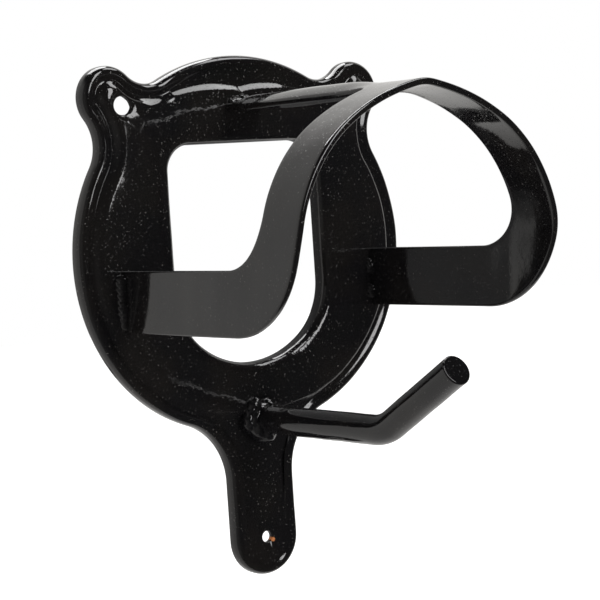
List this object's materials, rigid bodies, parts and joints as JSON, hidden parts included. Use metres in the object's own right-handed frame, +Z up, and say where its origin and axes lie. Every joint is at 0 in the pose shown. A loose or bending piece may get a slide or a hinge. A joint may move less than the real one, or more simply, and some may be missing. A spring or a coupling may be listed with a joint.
{
  "type": "wall bracket with saddle cradle and hook",
  "caption": "Wall bracket of coated steel: a pressed back plate with a window, a saddle-shaped sheet cradle to hang a load over, and an upturned round bar hook below.",
  "frame": {"origin": "centre of the back plate's round body, on the wall plane that its rim rests on", "axes": "+X to the right seen from the front, +Y into the wall (the front faces -Y), +Z up"},
  "size_m": [0.143, 0.1151, 0.19],
  "materials": {
    "plate_coat": "gloss black dip coat",
    "cradle_coat": "gloss black dip coat",
    "bar_coat": "gloss black dip coat",
    "weld_coat": "gloss black dip coat over rippled weld"
  },
  "bodies": {
    "root": {"back_plate": "plate_coat", "cradle": "cradle_coat", "hook_rod": "bar_coat", "hook_weld": "weld_coat", "left_arm_welds": "weld_coat", "right_arm_welds": "weld_coat", "spine_weld": "weld_coat"}
  },
  "joints": []
}
